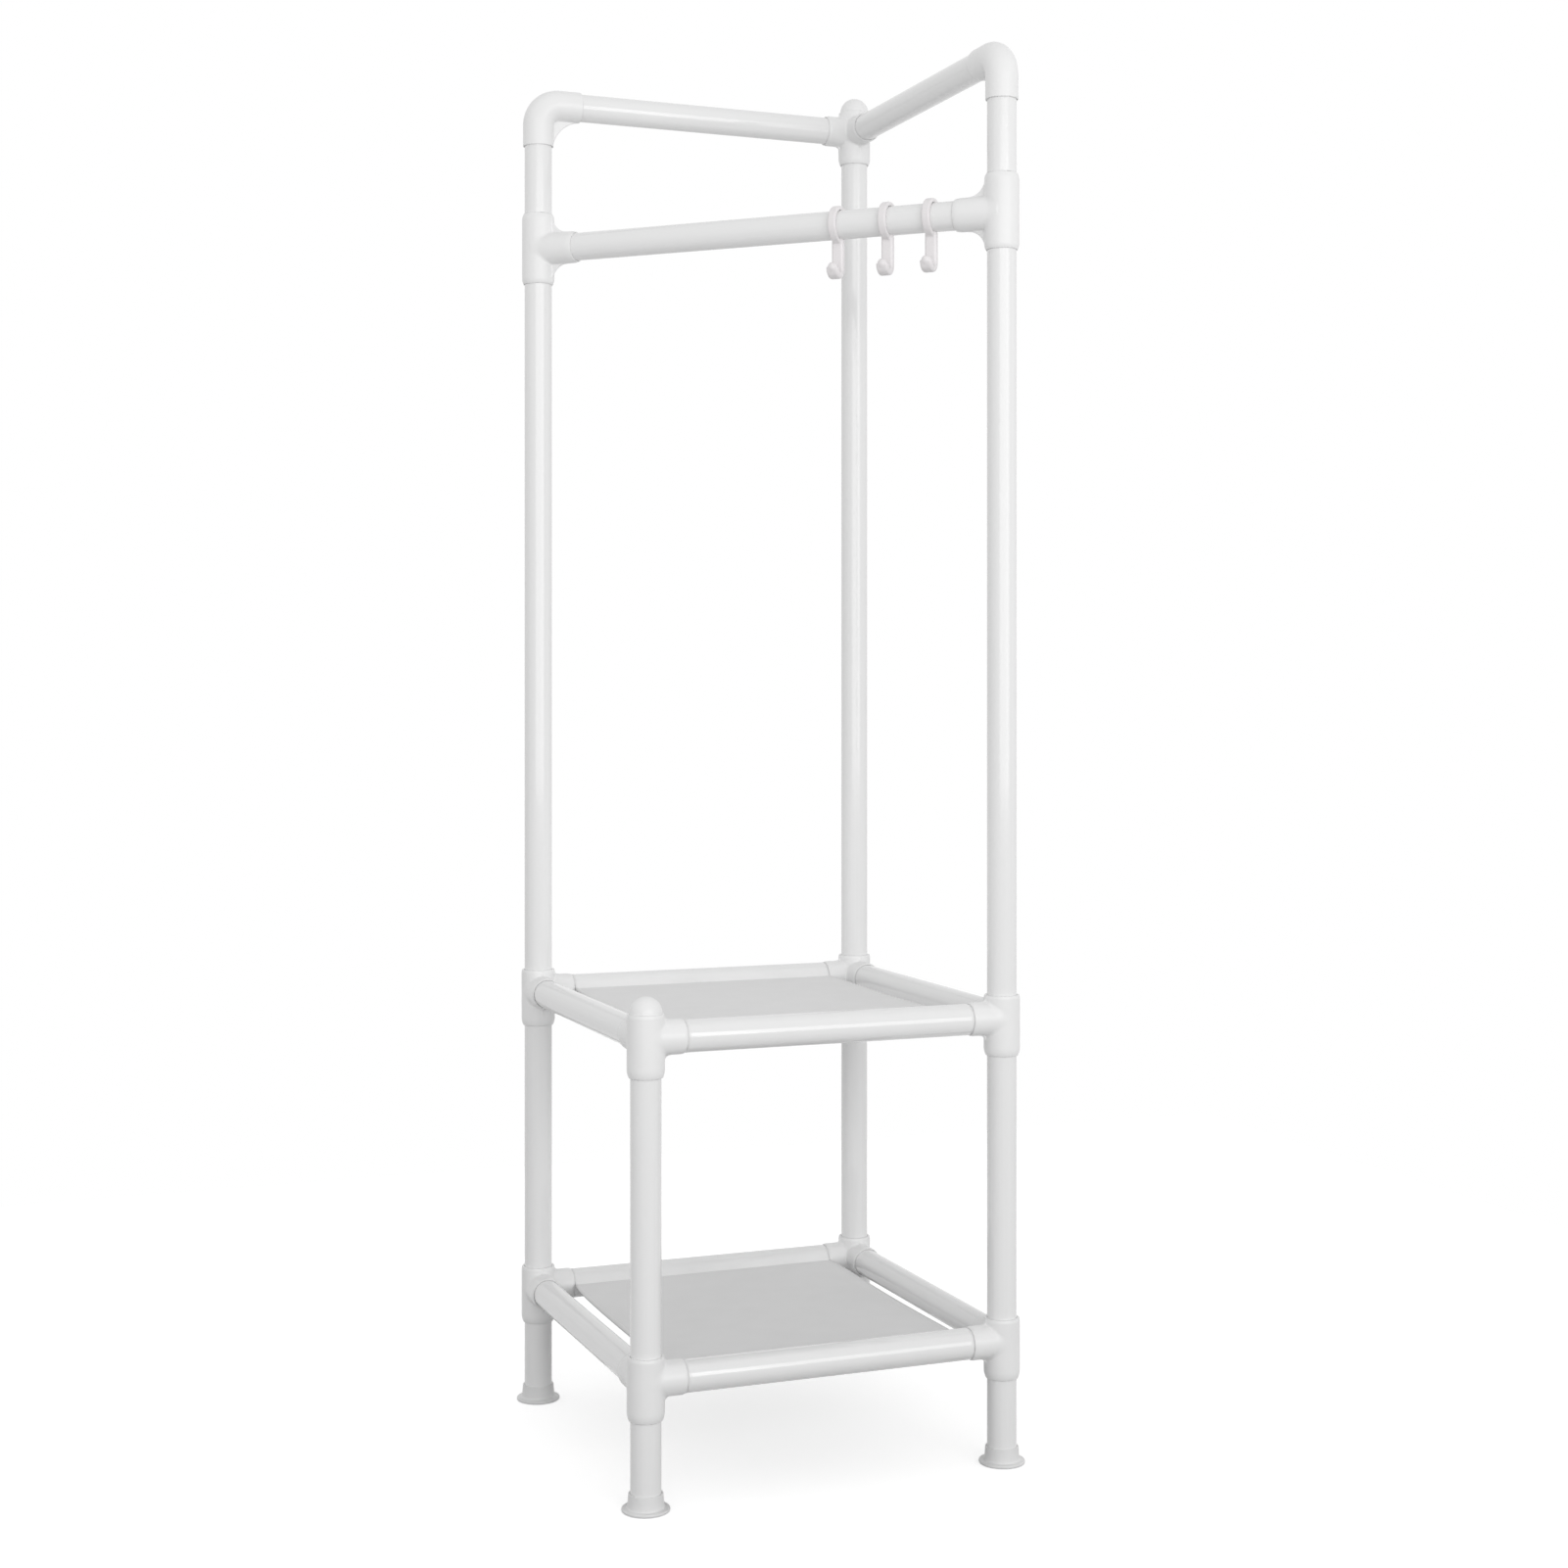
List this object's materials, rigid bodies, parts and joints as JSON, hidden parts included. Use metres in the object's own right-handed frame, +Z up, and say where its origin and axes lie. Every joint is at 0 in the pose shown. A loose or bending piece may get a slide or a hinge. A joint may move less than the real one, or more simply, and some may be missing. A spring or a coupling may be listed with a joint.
{
  "type": "corner clothes rack",
  "caption": "Free-standing corner clothes rack of white plastic pipe in moulded fittings, with a diagonal hanging bar, sliding hooks and cloth shelves.",
  "frame": {"origin": "on the floor, under the middle of the square base", "axes": "+Z up; the corner post stands at +X +Y and the short post at -X -Y, so the front is -Y"},
  "size_m": [0.454, 0.454, 1.5635],
  "materials": {
    "pipe_plastic": "glossy",
    "fitting_plastic": "satin moulded",
    "foot_plastic": "satin moulded",
    "hook_plastic": "satin",
    "shelf_cloth": "coated cloth"
  },
  "bodies": {
    "rack_frame": {"back_left_elbow": "fitting_plastic", "back_left_foot": "foot_plastic", "back_left_leg": "pipe_plastic", "back_left_lower_corner": "fitting_plastic", "back_left_shelf_post": "pipe_plastic", "back_left_tall_post": "pipe_plastic", "back_left_tee": "fitting_plastic", "back_left_top_post": "pipe_plastic", "back_left_upper_corner": "fitting_plastic", "back_right_dome_plug": "fitting_plastic", "back_right_foot": "foot_plastic", "back_right_leg": "pipe_plastic", "back_right_lower_corner": "fitting_plastic", "back_right_shelf_post": "pipe_plastic", "back_right_tall_post": "pipe_plastic", "back_right_top_corner": "fitting_plastic", "back_right_upper_corner": "fitting_plastic", "back_top_rail": "pipe_plastic", "front_left_dome_plug": "fitting_plastic", "front_left_foot": "foot_plastic", "front_left_leg": "pipe_plastic", "front_left_lower_corner": "fitting_plastic", "front_left_shelf_post": "pipe_plastic", "front_left_upper_corner": "fitting_plastic", "front_right_elbow": "fitting_plastic", "front_right_foot": "foot_plastic", "front_right_leg": "pipe_plastic", "front_right_lower_corner": "fitting_plastic", "front_right_shelf_post": "pipe_plastic", "front_right_tall_post": "pipe_plastic", "front_right_tee": "fitting_plastic", "front_right_top_post": "pipe_plastic", "front_right_upper_corner": "fitting_plastic", "hanging_bar": "pipe_plastic", "lower_back_rail": "pipe_plastic", "lower_front_rail": "pipe_plastic", "lower_left_rail": "pipe_plastic", "lower_right_rail": "pipe_plastic", "lower_shelf_cloth": "shelf_cloth", "right_top_rail": "pipe_plastic", "upper_back_rail": "pipe_plastic", "upper_front_rail": "pipe_plastic", "upper_left_rail": "pipe_plastic", "upper_right_rail": "pipe_plastic", "upper_shelf_cloth": "shelf_cloth"},
    "left_hook_body": {"left_hook": "hook_plastic"},
    "middle_hook_body": {"middle_hook": "hook_plastic"},
    "right_hook_body": {"right_hook": "hook_plastic"}
  },
  "joints": [
    {"name": "left_hook_slide", "type": "slide", "parent": "rack_frame", "child": "left_hook_body", "axis": [0.7071, -0.7071, 0], "range_m": [-0.321, 0.022]},
    {"name": "middle_hook_slide", "type": "slide", "parent": "rack_frame", "child": "middle_hook_body", "axis": [0.7071, -0.7071, 0], "range_m": [-0.022, 0.018]},
    {"name": "right_hook_slide", "type": "slide", "parent": "rack_frame", "child": "right_hook_body", "axis": [0.7071, -0.7071, 0], "range_m": [-0.018, 0.021]}
  ]
}
